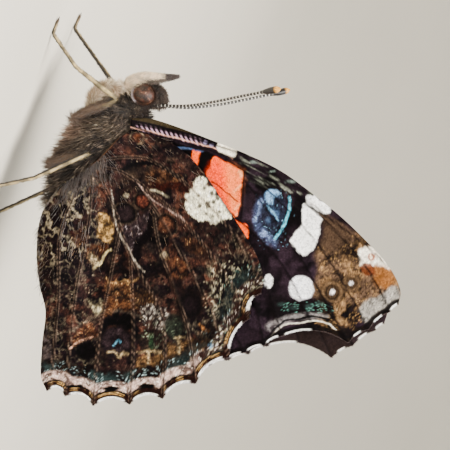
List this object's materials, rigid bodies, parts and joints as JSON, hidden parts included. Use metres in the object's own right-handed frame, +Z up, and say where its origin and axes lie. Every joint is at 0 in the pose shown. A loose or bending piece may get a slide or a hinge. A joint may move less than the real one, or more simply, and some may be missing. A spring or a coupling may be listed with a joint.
{
  "type": "red admiral butterfly (Vanessa atalanta), still life-size model",
  "caption": "Butterfly at rest with closed wings standing over its back, showing its marbled undersides, on four slender legs.",
  "frame": {"origin": "middle of the model's bounding box at floor level, under the body", "axes": "+Z up, head toward -Y, tail toward +Y, the animal's left side toward +X"},
  "size_m": [0.0136, 0.0374, 0.0414],
  "materials": {
    "body_fur": "soft hairy coat, matte",
    "pale_fur": "soft cream scales, matte",
    "eye_surface": "satin, faceted, hairy",
    "feeler_horn": "horn with fine scales",
    "leg_scales": "horn with fine scales",
    "forewing_scales": "powdery scales on membrane",
    "hindwing_scales": "powdery scales on membrane"
  },
  "bodies": {
    "root": {"thorax": "body_fur", "abdomen": "body_fur", "head": "body_fur", "proboscis": "feeler_horn", "eye_left": "eye_surface", "eye_right": "eye_surface", "palp_left": "pale_fur", "palp_right": "pale_fur", "antenna_left": "feeler_horn", "antenna_right": "feeler_horn", "foreleg_left": "leg_scales", "foreleg_right": "leg_scales", "midleg_left": "leg_scales", "midleg_right": "leg_scales", "hindleg_left": "leg_scales", "hindleg_right": "leg_scales", "forewing_left": "forewing_scales", "forewing_right": "forewing_scales", "hindwing_left": "hindwing_scales", "hindwing_right": "hindwing_scales"}
  },
  "joints": []
}
